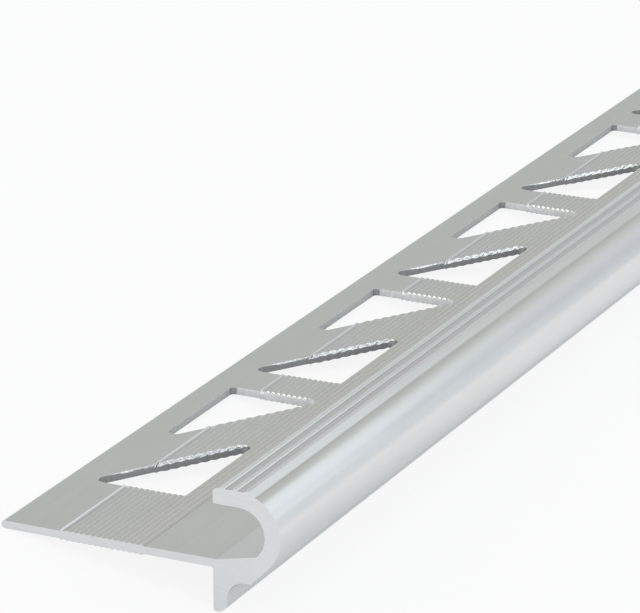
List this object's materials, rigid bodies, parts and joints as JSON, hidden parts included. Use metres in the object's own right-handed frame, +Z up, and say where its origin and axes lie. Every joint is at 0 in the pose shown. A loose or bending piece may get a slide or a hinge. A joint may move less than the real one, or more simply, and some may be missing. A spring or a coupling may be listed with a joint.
{
  "type": "tile edge trim",
  "caption": "Extruded aluminium tile edge strip with a punched anchoring flange, a short drop leg and a hollow rounded nose whose ridged lip finishes the edge of a tiled step.",
  "frame": {"origin": "on the floor under the middle of the strip's bounding box", "axes": "+Z up, Y along the strip's length, +X towards the rounded nose; the strip lies tilted about its length, as it rests on the flange's tip and the leg's foot"},
  "size_m": [0.0366, 1, 0.0168],
  "materials": {
    "mill_aluminium": "satin mill finish with fine lengthwise extrusion lines"
  },
  "bodies": {
    "root": {"trim_strip": "mill_aluminium"}
  },
  "joints": []
}
